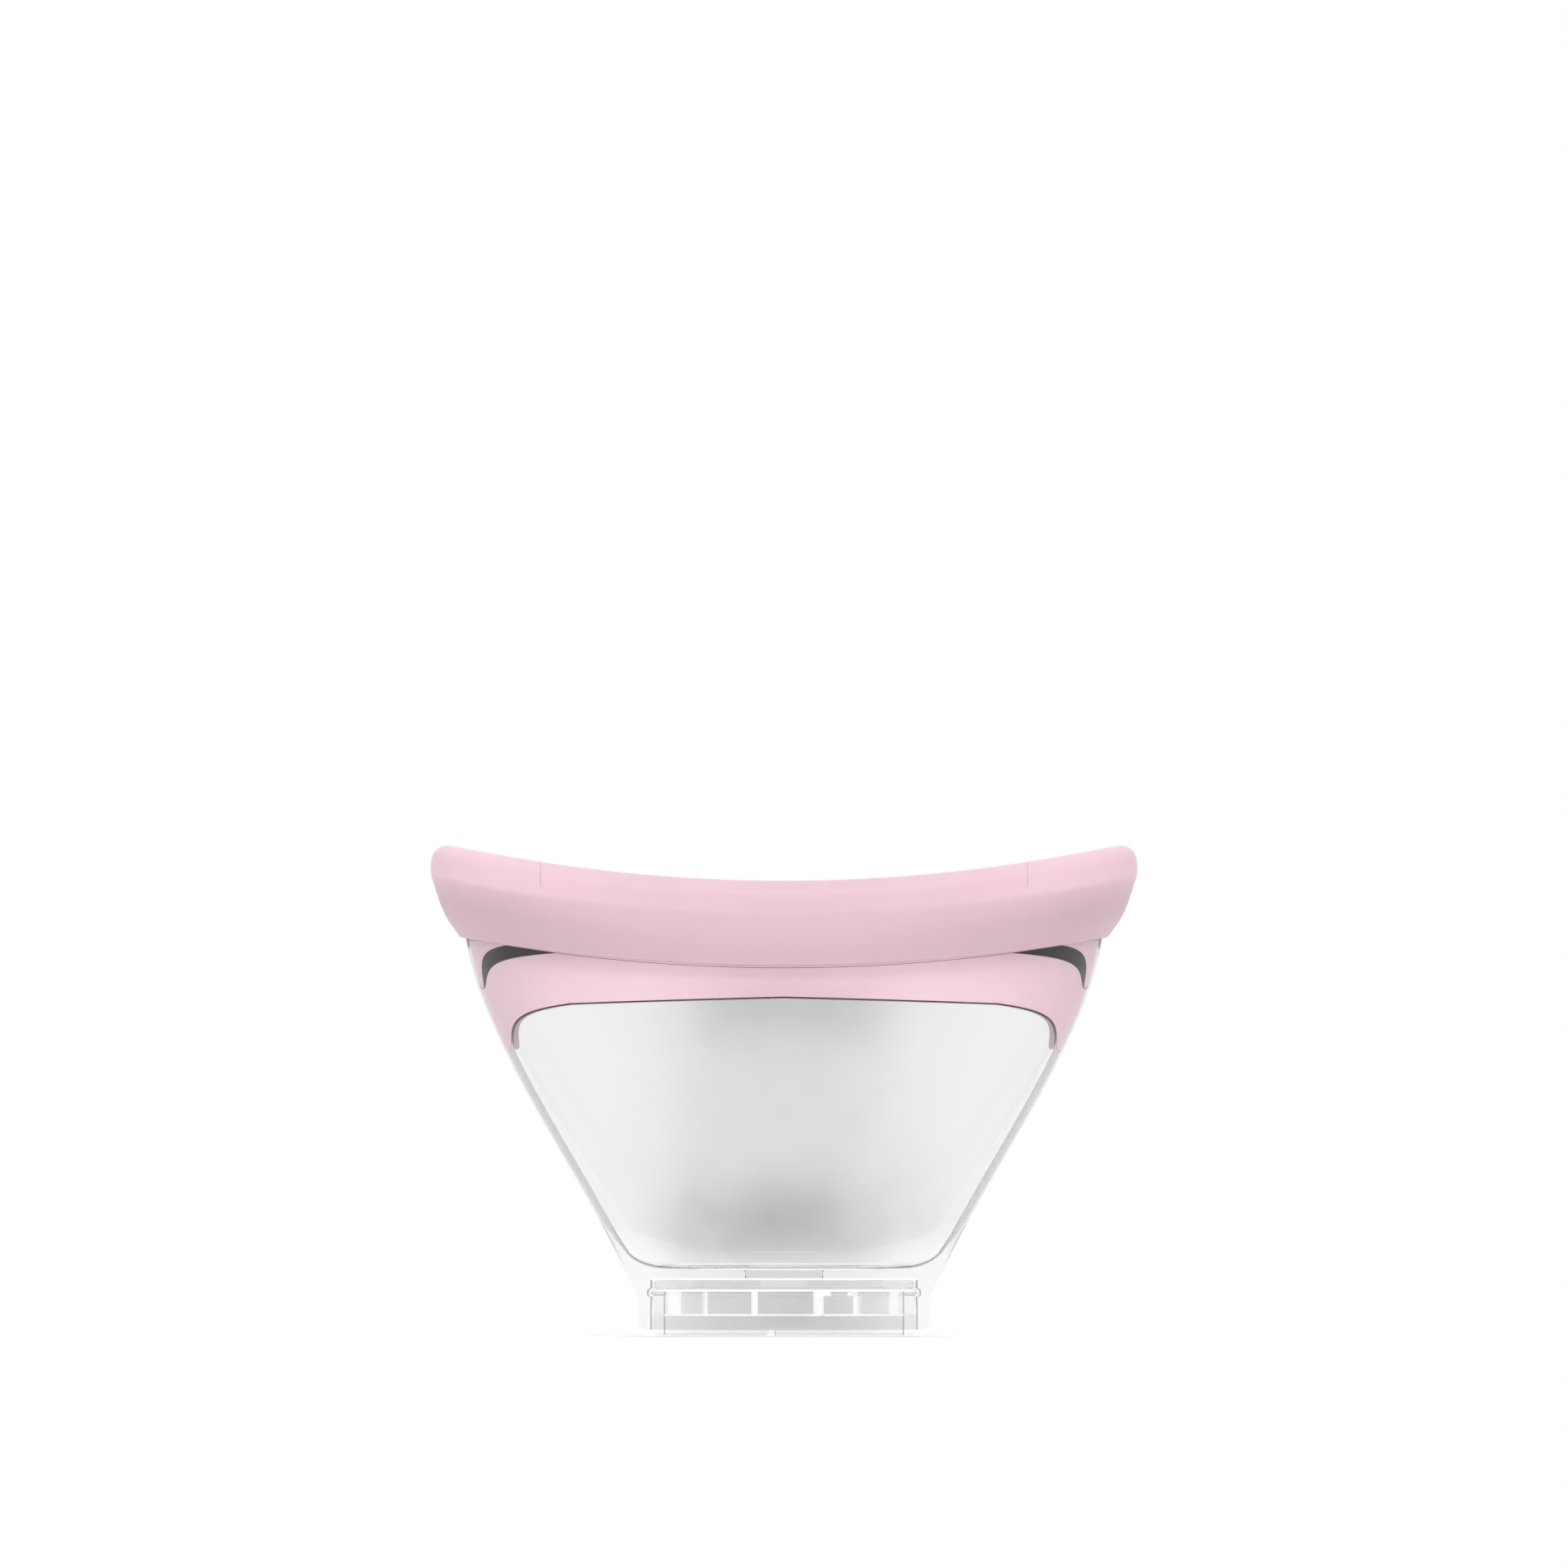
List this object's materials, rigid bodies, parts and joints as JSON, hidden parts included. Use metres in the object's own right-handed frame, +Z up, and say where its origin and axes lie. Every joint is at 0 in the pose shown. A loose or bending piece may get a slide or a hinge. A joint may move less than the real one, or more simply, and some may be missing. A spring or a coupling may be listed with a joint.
{
  "type": "cupping cup",
  "caption": "Clear oval cup with a saddle-shaped soft silicone rim, a bayonet connector at its foot and a face seal round the air port.",
  "frame": {"origin": "bottom centre of the overall box, on the axis of the connector", "axes": "+Z up out of the mouth, X along the long axis of the oval mouth, Y across it; the front in the picture faces -Y"},
  "size_m": [0.11, 0.072, 0.0762],
  "materials": {
    "silicone_rim": "matte soft silicone",
    "cup_shell": "polished clear moulded plastic",
    "connector_ring": "clear moulded plastic",
    "sealing_gasket": "translucent silicone"
  },
  "bodies": {
    "cup": {"cup_shell": "cup_shell", "connector_ring": "connector_ring", "sealing_gasket": "sealing_gasket"},
    "rim": {"silicone_rim": "silicone_rim"}
  },
  "joints": [
    {"name": "rim_pull_off", "type": "slide", "parent": "cup", "child": "rim", "axis": [0, 0, 1], "range_m": [0, 0.035]}
  ]
}
